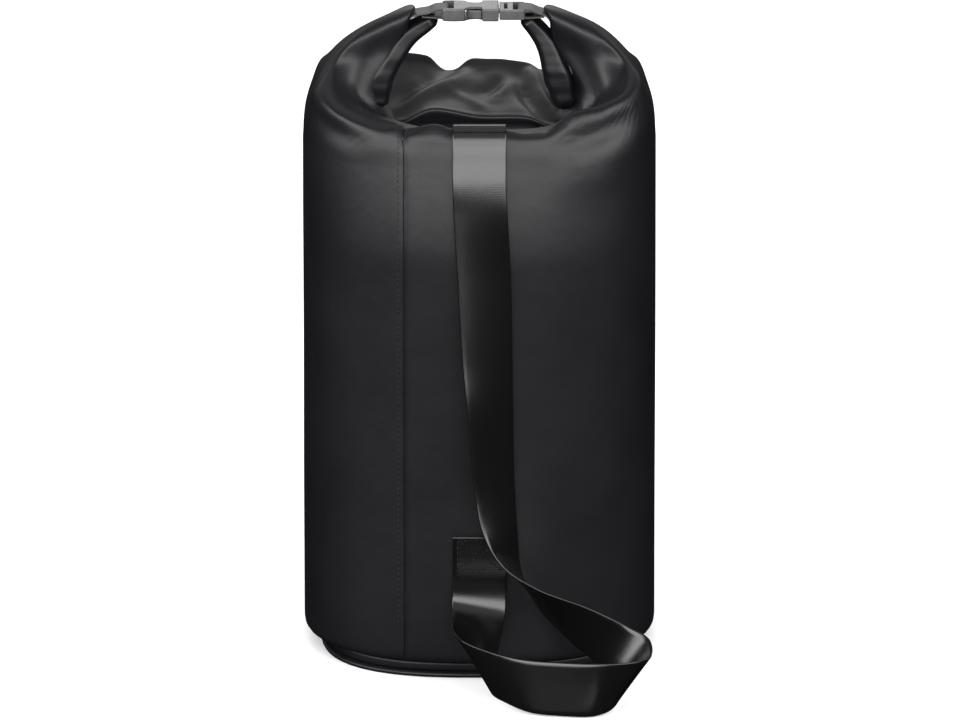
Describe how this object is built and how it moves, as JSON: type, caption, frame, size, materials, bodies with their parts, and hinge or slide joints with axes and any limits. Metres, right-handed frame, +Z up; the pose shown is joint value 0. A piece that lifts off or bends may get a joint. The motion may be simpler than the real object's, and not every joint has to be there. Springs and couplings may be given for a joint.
{
  "type": "rope storage bag",
  "caption": "Roll-top rope storage bag: a tall round tube of coated fabric on a stiff base, its rolled mouth buckled over the top as a carrying loop, with a flat shoulder strap down the back.",
  "frame": {"origin": "centre of the base panel's underside, on the ground the bag stands on", "axes": "+Z up along the bag's tube; +X to the right when looking at the shoulder strap side, along the rolled mouth and the buckle; the shoulder strap side faces -Y"},
  "size_m": [0.2714, 0.3741, 0.4967],
  "materials": {
    "coated_fabric": "satin",
    "liner_fabric": "matte",
    "webbing": "satin",
    "buckle_plastic": "satin",
    "stiffener_plastic": "matte"
  },
  "bodies": {
    "bag": {"body_wrap": "coated_fabric", "seam_tape": "liner_fabric", "base_panel": "coated_fabric", "base_board": "stiffener_plastic", "base_binding": "webbing", "back_shoulder": "coated_fabric", "front_shoulder": "coated_fabric", "left_ear_fabric": "coated_fabric", "right_ear_fabric": "coated_fabric", "roll_middle": "coated_fabric", "mouth_stiffener_middle": "stiffener_plastic", "shoulder_strap": "webbing", "strap_backing_patch": "liner_fabric"},
    "left_ear": {"roll_end_left": "coated_fabric", "mouth_stiffener_left_end": "stiffener_plastic", "webbing_tab_left": "webbing", "buckle_housing": "buckle_plastic"},
    "right_ear": {"roll_end_right": "coated_fabric", "mouth_stiffener_right_end": "stiffener_plastic", "webbing_tab_right": "webbing", "buckle_male_frame": "buckle_plastic"},
    "prong_back": {"buckle_prong_back": "buckle_plastic"},
    "prong_front": {"buckle_prong_front": "buckle_plastic"}
  },
  "joints": [
    {"name": "left_ear_swing", "type": "hinge", "parent": "bag", "child": "left_ear", "pos_m": [-0.076, 0, 0.422], "axis": [0, -1, 0], "range_deg": [0, 20], "deforming": ["left_ear_fabric", "right_ear_fabric", "buckle_prong_back", "buckle_prong_front"]},
    {"name": "right_ear_swing", "type": "hinge", "parent": "bag", "child": "right_ear", "pos_m": [0.068, 0, 0.422], "axis": [0, 1, 0], "range_deg": [0, 20], "deforming": ["right_ear_fabric"]},
    {"name": "prong_back_squeeze", "type": "hinge", "parent": "right_ear", "child": "prong_back", "pos_m": [0.0148, -0.01, 0.4918], "axis": [0, 0, -1], "range_deg": [0, 9], "stiffness_Nm_per_rad": 0.5},
    {"name": "prong_front_squeeze", "type": "hinge", "parent": "right_ear", "child": "prong_front", "pos_m": [0.0148, 0.01, 0.4918], "axis": [0, 0, 1], "range_deg": [0, 9], "stiffness_Nm_per_rad": 0.5}
  ],
  "couplings": [
    {"joint": "right_ear_swing", "follows": "left_ear_swing", "ratio": 1},
    {"joint": "prong_front_squeeze", "follows": "prong_back_squeeze", "ratio": 1}
  ]
}
